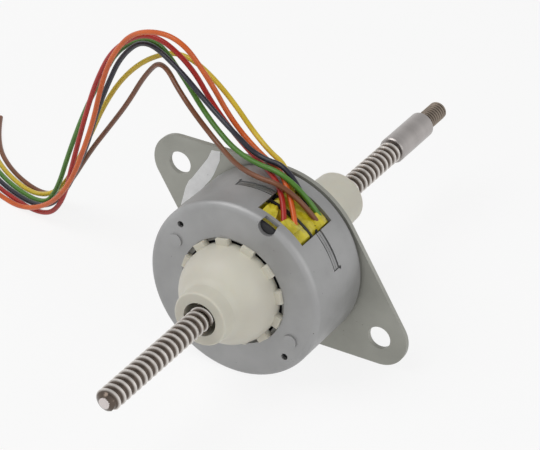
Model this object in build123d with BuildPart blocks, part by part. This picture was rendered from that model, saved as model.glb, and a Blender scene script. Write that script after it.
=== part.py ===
from build123d import *
from math import asin, cos, degrees, pi, radians, sin, tan
import os

# A can-stack stepping linear actuator, lying on a table on the straight edge of its flange.
# The screw runs along Y. The origin is the centre of the flange's free face, on the screw's axis.

# The steel can, two cups that meet rim to rim
CAN_RADIUS = 23.0
CUP_DEPTH = 10.7
CUP_SHEET = 1.0
CUP_EDGE_RADIUS = 1.6
CUP_INNER_EDGE_RADIUS = 0.5

# The mounting flange
FLANGE_THICKNESS = 1.2
HOLE_SPACING = 64.0
HOLE_RADIUS = 3.0
EAR_RADIUS = 7.35
FLANGE_HUB_RADIUS = 15.5

# The claw poles, twelve on each cup and on each inner plate
TOOTH_COUNT = 12
TOOTH_INNER_RADIUS = 12.9
CUP_TOOTH_LENGTH = 8.6
CUP_TOOTH_ROOT = 3.4
CUP_TOOTH_TIP = 1.7
PLATE_SHEET = 0.7
PLATE_JOINT = 0.05
PLATE_TOOTH_LENGTH = 8.7
PLATE_TOOTH_ROOT = 3.2
PLATE_TOOTH_TIP = 1.6
NEAR_TAB_ANGLE = 10.5
STACK_SHIFT = 7.5

# The gap between the cups where the inner plates show, and the window for the leads
SLOT_HALF_ANGLE = 42.5
SLOT_GAP = 0.4
SLOT_PIN_RADIUS = 0.45
SLOT_PIN_OFFSET = 1.5
WINDOW_HALF_WIDTH = 6.8
NEAR_WINDOW_LENGTH = 7.4
FAR_WINDOW_LENGTH = 6.1
PLATE_LUG_INSET = 0.15
PLATE_LUG_TRIM = 0.5
PLATE_NOTCH_RADIUS = 19.6

# The near cup's stamped details
BOSS_OFFSET = 18.0
BOSS_RADIUS = 1.75
BOSS_HEIGHT = 0.4
PIN_HOLE_X = 19.1
PIN_HOLE_Z = 4.9
PIN_HOLE_RADIUS = 0.85
RIM_HOLE_ANGLE = -5.0
RIM_HOLE_RADIUS = 2.2
RIM_HOLE_DEPTH = 2.4

# The coils
PART_CLEARANCE = 0.1
BOBBIN_INNER_RADIUS = 14.2
BOBBIN_OUTER_RADIUS = 21.7
BOBBIN_WALL = 0.7
WINDING_RADIUS = 20.5
TAPE_THICKNESS = 0.35
TAPE_PAD_HEIGHT = 1.3
TAPE_PAD_GAP = 0.4

# The white hubs
HUB_TAB_WIDTH = 3.2
HUB_TAB_PROUD = 0.9
HUB_TAB_CLEARANCE = 0.1
HUB_SKIRT_RADIUS = 12.3
HUB_DOME_START = 1.6
HUB_DOME_RADIUS = 9.25
HUB_DOME_END = 9.0
NOSE_ROOT_RADIUS = 7.2
NOSE_TIP_RADIUS = 6.9
NOSE_ROOT_HEIGHT = 10.9
NOSE_EDGE_RADIUS = 0.5
NOSE_BLEND = 0.25
NEAR_NOSE_HEIGHT = 14.6
FAR_NOSE_HEIGHT = 29.3
FAR_NOSE_STEP_HEIGHT = 22.5
FAR_NOSE_STEP = 0.25
HUB_BORE_RADIUS = 4.3
HUB_POCKET_RADIUS = 6.7
HUB_POCKET_CLEARANCE = 0.6

# The ball bearings
BEARING_WIDTH = 6.0
BEARING_BORE_RADIUS = 5.0
BEARING_OUTER_RADIUS = 9.5
RACE_WALL_INNER = 1.4
RACE_WALL_OUTER = 1.3
BALL_RADIUS = 1.5
BALL_CLEARANCE = 0.06
BALL_COUNT = 8
CAGE_WALL = 0.8
CAGE_WIDTH = 4.4
CAGE_POCKET_CLEARANCE = 0.1
BEARING_INSET = 0.2
WASHER_THICKNESS = 0.3
WASHER_DISH = 0.2

# The rotor
AIR_GAP = 0.4
MAGNET_LENGTH = 17.0
MAGNET_BORE_RADIUS = 7.4
SHOULDER_RADIUS = 5.9
JOURNAL_OVERHANG = 1.5
NUT_LENGTH = 12.0
NUT_CLEARANCE = 0.05
SLEEVE_BORE_RADIUS = 3.5

# The travelling screw with its end sleeve and stud
SCREW_RADIUS = 2.95
SCREW_NEAR_END = -76.7
SCREW_FAR_END = 55.4
SCREW_CHAMFER = 0.95
SPIGOT_RADIUS = 2.0
SPIGOT_LENGTH = 9.0
SLEEVE_RADIUS = 3.5
SLEEVE_LENGTH = 16.4
SLEEVE_EDGE = 0.3
STUD_RADIUS = 2.5
STUD_ROOT_RADIUS = 2.0
STUD_HIDDEN = 5.0
STUD_LENGTH = 9.7
STUD_CHAMFER = 0.5

# The loose leads, each route drawn for this can radius and seam, out of the window and down to the table
LEAD_RADIUS = 0.65
LEAD_ARC_SHARE = 0.45
ROUTE_CAN_RADIUS = 23.0
ROUTE_SEAM_Y = -11.9
LEAD_ROUTES = {
    "orange": (
        [(12.7, -15.7, 17.8), (6.1, -7.6, 25.1), (-6.1, -0.3, 24.2), (-15.6, 2.5, 29.1),
         (-20.7, 0.7, 39.5), (-27.7, -1.8, 50.3), (-41.8, 1.5, 46.7), (-50.0, 3.7, 37.3),
         (-54.6, 5.1, 27.0), (-58.4, 5.7, 12.6), (-69.1, 8.6, -11.4)],
        [(-83.9, 12.1), (-98.2, 16.3), (-113.3, 24.3), (-124.4, 33.9)],
    ),
    "red": (
        [(10.7, -17.7, 18.8), (6.8, -10.3, 24.1), (-8.8, -1.3, 24.8), (-19.4, 1.3, 31.6),
         (-27.5, 2.5, 41.5), (-38.6, 2.7, 46.9), (-51.0, 5.6, 37.8), (-57.5, 7.3, 26.3),
         (-62.1, 8.7, 14.4), (-66.4, 9.3, 0.6), (-71.8, 11.1, -15.7)],
        [(-78.8, 12.6), (-93.9, 16.7), (-108.4, 24.2), (-119.9, 35.5)],
    ),
    "black": (
        [(11.3, -7.4, 18.2), (6.2, -6.4, 27.0), (-4.1, -4.5, 25.9), (-10.4, -5.5, 31.4),
         (-19.7, -1.6, 34.3), (-29.2, 0.4, 40.3), (-41.0, 4.6, 43.3), (-49.7, 7.1, 35.5),
         (-55.2, 8.4, 24.7), (-59.6, 9.5, 14.5), (-63.7, 10.7, 2.9), (-73.0, 12.9, -15.4)],
        [(-82.2, 15.2), (-97.2, 19.9), (-110.9, 28.8), (-121.7, 40.0)],
    ),
    "green": (
        [(14.3, -7.0, 16.6), (8.4, -9.0, 26.4), (-7.1, -6.3, 25.4), (-20.1, 0.1, 28.6), (-29.3, 2.3, 37.7),
         (-39.3, 5.9, 43.8), (-51.5, 9.2, 36.4), (-58.4, 11.1, 25.3), (-64.7, 12.4, 13.5),
         (-71.2, 14.3, -1.0), (-76.2, 15.0, -15.1)],
        [(-82.2, 17.1), (-97.8, 22.0), (-112.1, 32.3), (-121.9, 43.1)],
    ),
    "yellow": (
        [(8.2, -8.8, 20.0), (4.7, -4.5, 25.4), (-6.5, 2.1, 24.9), (-19.9, 5.1, 36.2), (-32.3, 7.5, 41.0),
         (-43.2, 9.4, 35.5), (-51.9, 11.1, 27.2), (-58.9, 12.6, 16.7), (-64.8, 14.5, 5.1),
         (-74.8, 16.4, -14.6)],
        [(-85.9, 19.8), (-99.4, 25.0), (-113.0, 35.5), (-122.3, 46.8)],
    ),
    "brown": (
        [(14.5, -8.9, 16.4), (9.5, -11.8, 25.2), (-3.2, -11.8, 25.3), (-15.6, -3.6, 25.4),
         (-26.3, -2.2, 34.3), (-36.6, 4.9, 38.8), (-44.8, 9.7, 30.1), (-51.4, 11.9, 19.4),
         (-58.8, 14.6, 9.4), (-66.4, 16.4, -1.0), (-76.2, 18.9, -16.7)],
        [(-84.9, 21.3), (-98.6, 26.6), (-111.9, 37.4), (-119.7, 50.3)],
    ),
}

# Places that follow from the sizes
SEAM_Y = -FLANGE_THICKNESS - CUP_DEPTH
PLATE_BACK = PLATE_JOINT + PLATE_SHEET
NEAR = -1
FAR = 1
REST_ROLL = degrees(asin((CAN_RADIUS - EAR_RADIUS) / (HOLE_SPACING / 2)))
EAR_AXIS = Vector(cos(radians(REST_ROLL)), 0, -sin(radians(REST_ROLL)))
NOTCH_RADIUS = TOOTH_INNER_RADIUS + CUP_SHEET
PITCH = 360 / TOOTH_COUNT
INNER_RACE_RADIUS = BEARING_BORE_RADIUS + RACE_WALL_INNER
OUTER_RACE_RADIUS = BEARING_OUTER_RADIUS - RACE_WALL_OUTER
BALL_CIRCLE = (INNER_RACE_RADIUS + OUTER_RACE_RADIUS) / 2

os.makedirs("parts", exist_ok=True)


def save(part, label):
    """Names a finished piece and writes its file."""
    part.label = label
    export_step(part, f"parts/{label}.step")


def across(y):
    """The plane across the axis at y, x along the ears, y towards the leads, z towards the near side."""
    return Plane(origin=(0, y, 0), x_dir=EAR_AXIS, z_dir=(0, -1, 0))


def beside(side, distance):
    """The y value at a distance from the seam, on the near or the far side."""
    return SEAM_Y + side * distance


def around(shape, count, first):
    """Copies a shape made at angle nought round the axis, from the ears towards the leads."""
    return [shape.rotate(Axis.Y, REST_ROLL - first - 360 / count * i) for i in range(count)]


def ring(inner, outer, y_low, y_high):
    """A plain ring around the axis."""
    with BuildPart() as turned:
        with BuildSketch(Plane.XY):
            with Locations(((inner + outer) / 2, (y_low + y_high) / 2)):
                Rectangle(outer - inner, y_high - y_low)
        revolve(axis=Axis.Y)
    return turned.part


def claw(face_y, direction, sheet, length, root, tip):
    """One pole tooth, bent at a right angle out of a sheet whose outer face is at face_y."""
    bend = TOOTH_INNER_RADIUS + sheet
    inner_face = face_y + direction * sheet
    tip_y = face_y + direction * length
    with BuildPart() as tooth:
        with BuildSketch(Plane.XY):
            with BuildLine():
                Line((bend + sheet / 2, face_y), (bend, face_y))
                RadiusArc((bend, face_y), (TOOTH_INNER_RADIUS, inner_face), -direction * sheet)
                Polyline(
                    (TOOTH_INNER_RADIUS, inner_face),
                    (TOOTH_INNER_RADIUS, tip_y),
                    (bend, tip_y),
                    (bend, inner_face),
                    (bend + sheet / 2, inner_face),
                    (bend + sheet / 2, face_y),
                )
            make_face()
        extrude(amount=root / 2, both=True)
        with BuildSketch(Plane.YZ):
            with BuildLine():
                Polyline(
                    (face_y, -root / 2),
                    (face_y, root / 2),
                    (inner_face, root / 2),
                    (tip_y, tip / 2),
                    (tip_y, -tip / 2),
                    (inner_face, -root / 2),
                    close=True,
                )
            make_face()
        extrude(amount=CAN_RADIUS, mode=Mode.INTERSECT)
    return tooth.part


def sector(half_angle, inner, outer, y_low, y_high, centre=90.0):
    """A wedge of a ring, centred on an angle from the ears, the leads' side unless said."""
    first = radians(centre - half_angle)
    last = radians(centre + half_angle)
    middle = radians(centre)
    with BuildPart() as wedge:
        with BuildSketch(across(y_high)):
            with BuildLine():
                Line((inner * cos(first), inner * sin(first)), (outer * cos(first), outer * sin(first)))
                ThreePointArc(
                    (outer * cos(first), outer * sin(first)),
                    (outer * cos(middle), outer * sin(middle)),
                    (outer * cos(last), outer * sin(last)),
                )
                Line((outer * cos(last), outer * sin(last)), (inner * cos(last), inner * sin(last)))
                ThreePointArc(
                    (inner * cos(last), inner * sin(last)),
                    (inner * cos(middle), inner * sin(middle)),
                    (inner * cos(first), inner * sin(first)),
                )
            make_face()
        extrude(amount=y_high - y_low)
    return wedge.part


def cup(side, first_tooth, window_length):
    """Half of the steel can, with its claw poles bent in from the central hole."""
    face = beside(side, CUP_DEPTH)
    inner_face = beside(side, CUP_DEPTH - CUP_SHEET)
    slot_edge = beside(side, PLATE_BACK + SLOT_GAP)
    window_edge = beside(side, window_length)
    with BuildPart() as shell:
        with BuildSketch(Plane.XY):
            with BuildLine():
                Polyline(
                    (NOTCH_RADIUS, inner_face),
                    (NOTCH_RADIUS, face),
                    (CAN_RADIUS, face),
                    (CAN_RADIUS, SEAM_Y),
                    (CAN_RADIUS - CUP_SHEET, SEAM_Y),
                    (CAN_RADIUS - CUP_SHEET, inner_face),
                    close=True,
                )
            corners = make_face().vertices()
            fillet(corners.sort_by_distance((CAN_RADIUS, face, 0))[0], CUP_EDGE_RADIUS)
            fillet(
                corners.sort_by_distance((CAN_RADIUS - CUP_SHEET, inner_face, 0))[0],
                CUP_INNER_EDGE_RADIUS,
            )
        revolve(axis=Axis.Y)
        add(around(claw(face, -side, CUP_SHEET, CUP_TOOTH_LENGTH, CUP_TOOTH_ROOT, CUP_TOOTH_TIP),
                   TOOTH_COUNT, first_tooth))
        add(sector(SLOT_HALF_ANGLE, CAN_RADIUS - 2 * CUP_SHEET, CAN_RADIUS + CUP_SHEET,
                   min(SEAM_Y, slot_edge), max(SEAM_Y, slot_edge)), mode=Mode.SUBTRACT)
        with BuildSketch(across(max(SEAM_Y, window_edge))):
            with Locations((0, CAN_RADIUS)):
                Rectangle(2 * WINDOW_HALF_WIDTH, CAN_RADIUS / 2)
        extrude(amount=window_length, mode=Mode.SUBTRACT)
    return shell.part


def near_cup():
    """The cup that faces the viewer, with its stamped bosses, pin holes and rim notch."""
    face = beside(NEAR, CUP_DEPTH)
    with BuildPart() as near:
        add(cup(NEAR, NEAR_TAB_ANGLE + PITCH / 2, NEAR_WINDOW_LENGTH))
        with BuildSketch(across(face)):
            with Locations((-BOSS_OFFSET, 0), (BOSS_OFFSET, 0)):
                Circle(BOSS_RADIUS)
        extrude(amount=BOSS_HEIGHT)
        with BuildSketch(across(face)):
            with Locations((-PIN_HOLE_X, PIN_HOLE_Z), (PIN_HOLE_X, -PIN_HOLE_Z)):
                Circle(PIN_HOLE_RADIUS)
        extrude(amount=-CUP_SHEET, mode=Mode.SUBTRACT)
        with BuildSketch(across(face)):
            with PolarLocations(CAN_RADIUS - RIM_HOLE_RADIUS / 2, 1, start_angle=90 - RIM_HOLE_ANGLE):
                Circle(RIM_HOLE_RADIUS)
        extrude(amount=-RIM_HOLE_DEPTH, mode=Mode.SUBTRACT)
    return near.part


def far_cup():
    """The cup behind the flange, with the two pin holes at the ends of the slot."""
    with BuildPart() as far:
        add(cup(FAR, NEAR_TAB_ANGLE + PITCH / 2 + STACK_SHIFT, FAR_WINDOW_LENGTH))
        for angle in (90 - SLOT_HALF_ANGLE, 90 + SLOT_HALF_ANGLE):
            outward = Vector(1, 0, 0).rotate(Axis.Y, REST_ROLL - angle)
            place = outward * CAN_RADIUS + Vector(0, SEAM_Y + SLOT_PIN_OFFSET, 0)
            with BuildSketch(Plane(origin=place, x_dir=(0, 1, 0), z_dir=outward)):
                Circle(SLOT_PIN_RADIUS)
            extrude(amount=-CUP_SHEET, mode=Mode.SUBTRACT)
    return far.part


def mounting_flange():
    """The flat plate with two ears, its sides tangent to the can."""
    with BuildPart() as flange:
        with BuildSketch(across(0)):
            Circle(CAN_RADIUS)
            with Locations((-HOLE_SPACING / 2, 0), (HOLE_SPACING / 2, 0)):
                Circle(EAR_RADIUS)
            make_hull()
            Circle(FLANGE_HUB_RADIUS, mode=Mode.SUBTRACT)
            with Locations((-HOLE_SPACING / 2, 0), (HOLE_SPACING / 2, 0)):
                Circle(HOLE_RADIUS, mode=Mode.SUBTRACT)
        extrude(amount=FLANGE_THICKNESS)
    return flange.part


def pole_plate(side, first_tooth):
    """An inner pole plate: a disc at the seam, with teeth that reach towards its own cup's face."""
    front = beside(side, PLATE_JOINT)
    back = beside(side, PLATE_BACK)
    hole = TOOTH_INNER_RADIUS + PLATE_SHEET
    low = min(front, back)
    high = max(front, back)
    inside = CAN_RADIUS - CUP_SHEET - PART_CLEARANCE
    with BuildPart() as plate:
        add(ring(hole, inside, low, high))
        add(around(claw(front, side, PLATE_SHEET, PLATE_TOOTH_LENGTH, PLATE_TOOTH_ROOT, PLATE_TOOTH_TIP),
                   TOOTH_COUNT, first_tooth))
        add(sector(SLOT_HALF_ANGLE - PLATE_LUG_TRIM, inside - PLATE_SHEET, CAN_RADIUS - PLATE_LUG_INSET,
                   low, high))
        with BuildSketch(across(high)):
            with Locations((0, PLATE_NOTCH_RADIUS)):
                Rectangle(2 * WINDOW_HALF_WIDTH, CAN_RADIUS, align=(Align.CENTER, Align.MIN))
        extrude(amount=PLATE_SHEET, mode=Mode.SUBTRACT)
    return plate.part


def bobbin(side):
    """A moulded spool between the cup's face and the inner pole plate."""
    face = beside(side, CUP_DEPTH - CUP_SHEET - PART_CLEARANCE)
    back = beside(side, PLATE_BACK + PART_CLEARANCE)
    with BuildPart() as spool:
        with BuildSketch(Plane.XY):
            with BuildLine():
                Polyline(
                    (BOBBIN_INNER_RADIUS, face),
                    (BOBBIN_OUTER_RADIUS, face),
                    (BOBBIN_OUTER_RADIUS, face - side * BOBBIN_WALL),
                    (BOBBIN_INNER_RADIUS + BOBBIN_WALL, face - side * BOBBIN_WALL),
                    (BOBBIN_INNER_RADIUS + BOBBIN_WALL, back + side * BOBBIN_WALL),
                    (BOBBIN_OUTER_RADIUS, back + side * BOBBIN_WALL),
                    (BOBBIN_OUTER_RADIUS, back),
                    (BOBBIN_INNER_RADIUS, back),
                    close=True,
                )
            make_face()
        revolve(axis=Axis.Y)
    return spool.part


def coil_span(side):
    """The low and high y values of the space between a spool's two walls."""
    outer = beside(side, CUP_DEPTH - CUP_SHEET - PART_CLEARANCE - BOBBIN_WALL)
    inner = beside(side, PLATE_BACK + PART_CLEARANCE + BOBBIN_WALL)
    return min(outer, inner), max(outer, inner)


def winding(side):
    """The copper winding that fills a spool."""
    low, high = coil_span(side)
    return ring(BOBBIN_INNER_RADIUS + BOBBIN_WALL, WINDING_RADIUS, low, high)


def coil_tape(side, window_length):
    """Insulating tape round a winding, with the folded pad over its leads in the window."""
    low, high = coil_span(side)
    edge = beside(side, window_length - TAPE_PAD_GAP)
    band = WINDING_RADIUS + TAPE_THICKNESS
    with BuildPart() as tape:
        with BuildSketch(across(high)):
            with Locations((0, WINDING_RADIUS)):
                Rectangle(2 * (WINDOW_HALF_WIDTH - TAPE_PAD_GAP), CAN_RADIUS, align=(Align.CENTER, Align.CENTER))
        extrude(amount=high - low)
        add(ring(WINDING_RADIUS, band + TAPE_PAD_HEIGHT, max(low, min(edge, SEAM_Y)),
                 min(high, max(edge, SEAM_Y))), mode=Mode.INTERSECT)
        add(ring(WINDING_RADIUS, band, low, high))
    return tape.part


def hub(side, nose_height, step_height, shoulder_height, first_tab):
    """A white bearing hub: twelve tabs in the notches between the poles, a dome and a nose."""
    plane = beside(side, CUP_DEPTH)

    def at(radius, height):
        return (radius, plane + side * height)

    dome_centre = HUB_SKIRT_RADIUS - HUB_DOME_RADIUS
    dome_end_radius = dome_centre + (HUB_DOME_RADIUS**2 - (HUB_DOME_END - HUB_DOME_START) ** 2) ** 0.5
    dome_middle = asin((HUB_DOME_END - HUB_DOME_START) / HUB_DOME_RADIUS) / 2
    middle_radius = dome_centre + HUB_DOME_RADIUS * cos(dome_middle)
    middle_height = HUB_DOME_START + HUB_DOME_RADIUS * sin(dome_middle)
    tip_radius = NOSE_TIP_RADIUS
    pocket_height = BEARING_WIDTH - BEARING_INSET + JOURNAL_OVERHANG + HUB_POCKET_CLEARANCE
    with BuildPart() as turned:
        with BuildSketch(Plane.XY):
            with BuildLine():
                Line(at(HUB_SKIRT_RADIUS, -CUP_SHEET), at(HUB_SKIRT_RADIUS, HUB_DOME_START))
                ThreePointArc(
                    at(HUB_SKIRT_RADIUS, HUB_DOME_START),
                    at(middle_radius, middle_height),
                    at(dome_end_radius, HUB_DOME_END),
                )
                root = at(NOSE_ROOT_RADIUS + (FAR_NOSE_STEP if step_height else 0), NOSE_ROOT_HEIGHT)
                bend = ((dome_end_radius + root[0]) / 2 - NOSE_BLEND, (at(0, HUB_DOME_END)[1] + root[1]) / 2)
                ThreePointArc(at(dome_end_radius, HUB_DOME_END), bend, root)
                if step_height:
                    Polyline(root, at(root[0], step_height), at(NOSE_ROOT_RADIUS, step_height),
                             at(tip_radius, nose_height))
                else:
                    Line(root, at(tip_radius, nose_height))
                Polyline(
                    at(tip_radius, nose_height),
                    at(HUB_BORE_RADIUS, nose_height),
                    at(HUB_BORE_RADIUS, pocket_height),
                    at(HUB_POCKET_RADIUS, pocket_height),
                    at(HUB_POCKET_RADIUS, shoulder_height),
                    at(BEARING_OUTER_RADIUS, shoulder_height),
                    at(BEARING_OUTER_RADIUS, -CUP_SHEET),
                    at(HUB_SKIRT_RADIUS, -CUP_SHEET),
                )
            corners = make_face().vertices()
            fillet(corners.sort_by_distance((*at(tip_radius, nose_height), 0))[0], NOSE_EDGE_RADIUS)
        revolve(axis=Axis.Y)
        with BuildPart(mode=Mode.PRIVATE) as tab:
            low = min(at(0, -CUP_SHEET)[1], at(0, HUB_TAB_PROUD)[1])
            with BuildSketch(Plane.XY.offset(-HUB_TAB_WIDTH / 2)):
                with Locations((HUB_SKIRT_RADIUS - HUB_TAB_CLEARANCE, low)):
                    Rectangle(
                        NOTCH_RADIUS - HUB_SKIRT_RADIUS,
                        CUP_SHEET + HUB_TAB_PROUD,
                        align=(Align.MIN, Align.MIN),
                    )
            extrude(amount=HUB_TAB_WIDTH)
        add(around(tab.part, TOOTH_COUNT, first_tab))
    return turned.part


def bearing_span(side):
    """The low and high y values of a bearing, set a little inside the cup's face plane."""
    inner = beside(side, CUP_DEPTH - BEARING_INSET)
    outer = beside(side, CUP_DEPTH - BEARING_INSET + BEARING_WIDTH)
    return min(inner, outer), max(inner, outer)


def race(side, inner, outer):
    """A bearing race with the groove that the balls run in."""
    low, high = bearing_span(side)
    with BuildPart() as turned:
        add(ring(inner, outer, low, high))
        with BuildSketch(Plane.XY):
            with Locations((BALL_CIRCLE, (low + high) / 2)):
                Circle(BALL_RADIUS + BALL_CLEARANCE)
        revolve(axis=Axis.Y, mode=Mode.SUBTRACT)
    return turned.part


def balls(side):
    """One bearing's balls, as separate solids in one set."""
    low, high = bearing_span(side)
    with BuildPart() as ball:
        with Locations((BALL_CIRCLE, (low + high) / 2, 0)):
            Sphere(BALL_RADIUS)
    return Compound(children=[copy.solid() for copy in around(ball.part, BALL_COUNT, 0)])


def cage(side):
    """The ring that keeps the balls apart."""
    low, high = bearing_span(side)
    middle = (low + high) / 2
    with BuildPart() as pocket:
        with BuildSketch(Plane(origin=(0, middle, 0), x_dir=(0, 1, 0), z_dir=(1, 0, 0))):
            Circle(BALL_RADIUS + CAGE_POCKET_CLEARANCE)
        extrude(amount=BEARING_OUTER_RADIUS)
    with BuildPart() as keeper:
        add(ring(BALL_CIRCLE - CAGE_WALL / 2, BALL_CIRCLE + CAGE_WALL / 2,
                 middle - CAGE_WIDTH / 2, middle + CAGE_WIDTH / 2))
        add(around(pocket.part, BALL_COUNT, 0), mode=Mode.SUBTRACT)
    return keeper.part


def preload_washer():
    """The dished spring washer behind the near bearing's outer race."""
    low, high = bearing_span(NEAR)
    inner = HUB_POCKET_RADIUS + HUB_TAB_CLEARANCE
    outer = BEARING_OUTER_RADIUS - HUB_TAB_CLEARANCE
    with BuildPart() as washer:
        with BuildSketch(Plane.XY):
            with BuildLine():
                Polyline(
                    (inner, low - WASHER_DISH),
                    (outer, low),
                    (outer, low - WASHER_THICKNESS),
                    (inner, low - WASHER_DISH - WASHER_THICKNESS),
                    close=True,
                )
            make_face()
        revolve(axis=Axis.Y)
    return washer.part


def rotor_sleeve():
    """The rotor's threaded sleeve, with a journal for each bearing."""
    near_low, near_high = bearing_span(NEAR)
    far_low, far_high = bearing_span(FAR)
    half_magnet = MAGNET_LENGTH / 2
    half_nut = NUT_LENGTH / 2
    nut_bore = SCREW_RADIUS + NUT_CLEARANCE
    with BuildPart() as sleeve:
        with BuildSketch(Plane.XY):
            with BuildLine():
                Polyline(
                    (SLEEVE_BORE_RADIUS, near_low - JOURNAL_OVERHANG),
                    (BEARING_BORE_RADIUS, near_low - JOURNAL_OVERHANG),
                    (BEARING_BORE_RADIUS, near_high),
                    (SHOULDER_RADIUS, near_high),
                    (SHOULDER_RADIUS, SEAM_Y - half_magnet),
                    (MAGNET_BORE_RADIUS, SEAM_Y - half_magnet),
                    (MAGNET_BORE_RADIUS, SEAM_Y + half_magnet),
                    (SHOULDER_RADIUS, SEAM_Y + half_magnet),
                    (SHOULDER_RADIUS, far_low),
                    (BEARING_BORE_RADIUS, far_low),
                    (BEARING_BORE_RADIUS, far_high + JOURNAL_OVERHANG),
                    (SLEEVE_BORE_RADIUS, far_high + JOURNAL_OVERHANG),
                    (SLEEVE_BORE_RADIUS, SEAM_Y + half_nut),
                    (nut_bore, SEAM_Y + half_nut),
                    (nut_bore, SEAM_Y - half_nut),
                    (SLEEVE_BORE_RADIUS, SEAM_Y - half_nut),
                    close=True,
                )
            make_face()
        revolve(axis=Axis.Y)
    return sleeve.part


def lead_screw():
    """The travelling screw as a plain bar, with a spigot for the end sleeve."""
    with BuildPart() as screw:
        with BuildSketch(Plane.XY):
            with BuildLine():
                Polyline(
                    (0, SCREW_NEAR_END),
                    (SCREW_RADIUS - SCREW_CHAMFER, SCREW_NEAR_END),
                    (SCREW_RADIUS, SCREW_NEAR_END + SCREW_CHAMFER),
                    (SCREW_RADIUS, SCREW_FAR_END),
                    (SPIGOT_RADIUS, SCREW_FAR_END),
                    (SPIGOT_RADIUS, SCREW_FAR_END + SPIGOT_LENGTH),
                    (0, SCREW_FAR_END + SPIGOT_LENGTH),
                    close=True,
                )
            make_face()
        revolve(axis=Axis.Y)
    return screw.part


def end_sleeve():
    """The plain round sleeve pressed on the screw's far end, open at its end for the stud."""
    near = SCREW_FAR_END
    far = SCREW_FAR_END + SLEEVE_LENGTH
    with BuildPart() as sleeve:
        with BuildSketch(Plane.XY):
            with BuildLine():
                Polyline(
                    (SPIGOT_RADIUS, near),
                    (SLEEVE_RADIUS - SLEEVE_EDGE, near),
                    (SLEEVE_RADIUS, near + SLEEVE_EDGE),
                    (SLEEVE_RADIUS, far - SLEEVE_EDGE),
                    (SLEEVE_RADIUS - SLEEVE_EDGE, far),
                    (STUD_ROOT_RADIUS, far),
                    (STUD_ROOT_RADIUS, far - STUD_HIDDEN),
                    (0, far - STUD_HIDDEN),
                    (0, near + SPIGOT_LENGTH),
                    (SPIGOT_RADIUS, near + SPIGOT_LENGTH),
                    close=True,
                )
            make_face()
        revolve(axis=Axis.Y)
    return sleeve.part


def end_stud():
    """The short stud that the driven load screws onto."""
    face = SCREW_FAR_END + SLEEVE_LENGTH
    root = face - STUD_HIDDEN
    tip = face + STUD_LENGTH
    with BuildPart() as stud:
        with BuildSketch(Plane.XY):
            with BuildLine():
                Polyline(
                    (0, root),
                    (STUD_ROOT_RADIUS, root),
                    (STUD_ROOT_RADIUS, face),
                    (STUD_RADIUS, face),
                    (STUD_RADIUS, tip - STUD_CHAMFER),
                    (STUD_RADIUS - STUD_CHAMFER, tip),
                    (0, tip),
                    close=True,
                )
            make_face()
        revolve(axis=Axis.Y)
    return stud.part


def lead(colour):
    """One loose lead, as runs joined by arcs that are as large as the runs allow."""
    raised, resting = LEAD_ROUTES[colour]
    scale = CAN_RADIUS / ROUTE_CAN_RADIUS
    shift = SEAM_Y - ROUTE_SEAM_Y
    points = [Vector(x * scale, y + shift, z * scale) for x, y, z in raised]
    points += [Vector(x * scale, y + shift, LEAD_RADIUS - CAN_RADIUS) for x, y in resting]
    runs = [end - start for start, end in zip(points, points[1:])]
    radii = [
        LEAD_ARC_SHARE * min(before.length, after.length) / tan(radians(before.get_angle(after)) / 2)
        for before, after in zip(runs, runs[1:])
    ]
    with BuildPart() as tube:
        with BuildLine():
            path = FilletPolyline(*points, radius=radii)
        with BuildSketch(Plane(origin=path @ 0, z_dir=path % 0)):
            Circle(LEAD_RADIUS)
        sweep(path=path)
    share = tube.part.volume / (pi * LEAD_RADIUS**2 * path.length)
    print(colour, "lead", round(path.length, 1), "mm, volume share", round(share, 4), "radii", [round(r, 1) for r in radii])
    return tube.part


save(near_cup(), "near_cup")
save(far_cup(), "far_cup")
save(mounting_flange(), "mounting_flange")
save(pole_plate(NEAR, NEAR_TAB_ANGLE), "near_pole_plate")
save(pole_plate(FAR, NEAR_TAB_ANGLE + STACK_SHIFT), "far_pole_plate")
save(bobbin(NEAR), "near_bobbin")
save(bobbin(FAR), "far_bobbin")
save(winding(NEAR), "near_winding")
save(winding(FAR), "far_winding")
save(coil_tape(NEAR, NEAR_WINDOW_LENGTH), "near_tape")
save(coil_tape(FAR, FAR_WINDOW_LENGTH), "far_tape")

near_shoulder = BEARING_WIDTH - BEARING_INSET + WASHER_DISH + WASHER_THICKNESS
far_shoulder = BEARING_WIDTH - BEARING_INSET
save(hub(NEAR, NEAR_NOSE_HEIGHT, None, near_shoulder, NEAR_TAB_ANGLE), "near_hub")
save(hub(FAR, FAR_NOSE_HEIGHT, FAR_NOSE_STEP_HEIGHT, far_shoulder, NEAR_TAB_ANGLE + STACK_SHIFT), "far_hub")
save(preload_washer(), "preload_washer")

for side, name in ((NEAR, "near"), (FAR, "far")):
    save(race(side, BEARING_BORE_RADIUS, INNER_RACE_RADIUS), f"{name}_inner_race")
    save(race(side, OUTER_RACE_RADIUS, BEARING_OUTER_RADIUS), f"{name}_outer_race")
    save(balls(side), f"{name}_balls")
    save(cage(side), f"{name}_ball_cage")

magnet_radius = TOOTH_INNER_RADIUS - AIR_GAP
half_magnet = MAGNET_LENGTH / 2
save(ring(MAGNET_BORE_RADIUS, magnet_radius, SEAM_Y - half_magnet, SEAM_Y + half_magnet), "rotor_magnet")
save(rotor_sleeve(), "rotor_sleeve")
save(lead_screw(), "lead_screw")
save(end_sleeve(), "end_sleeve")
save(end_stud(), "end_stud")

for colour in LEAD_ROUTES:
    save(lead(colour), f"lead_{colour}")
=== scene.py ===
"""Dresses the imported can-stack linear actuator for its picture.

The CAD frame gives every main form. This script adds the screw's and the stud's threads, the creased
tape in the lead window, the loose leads, the pale mark on the flange, the finishes and the studio.
"""

import logging
import math
from dataclasses import dataclass
from enum import Enum
from typing import Sequence

import bmesh
import bpy
import numpy as np
from mathutils import Matrix, Vector


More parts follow.
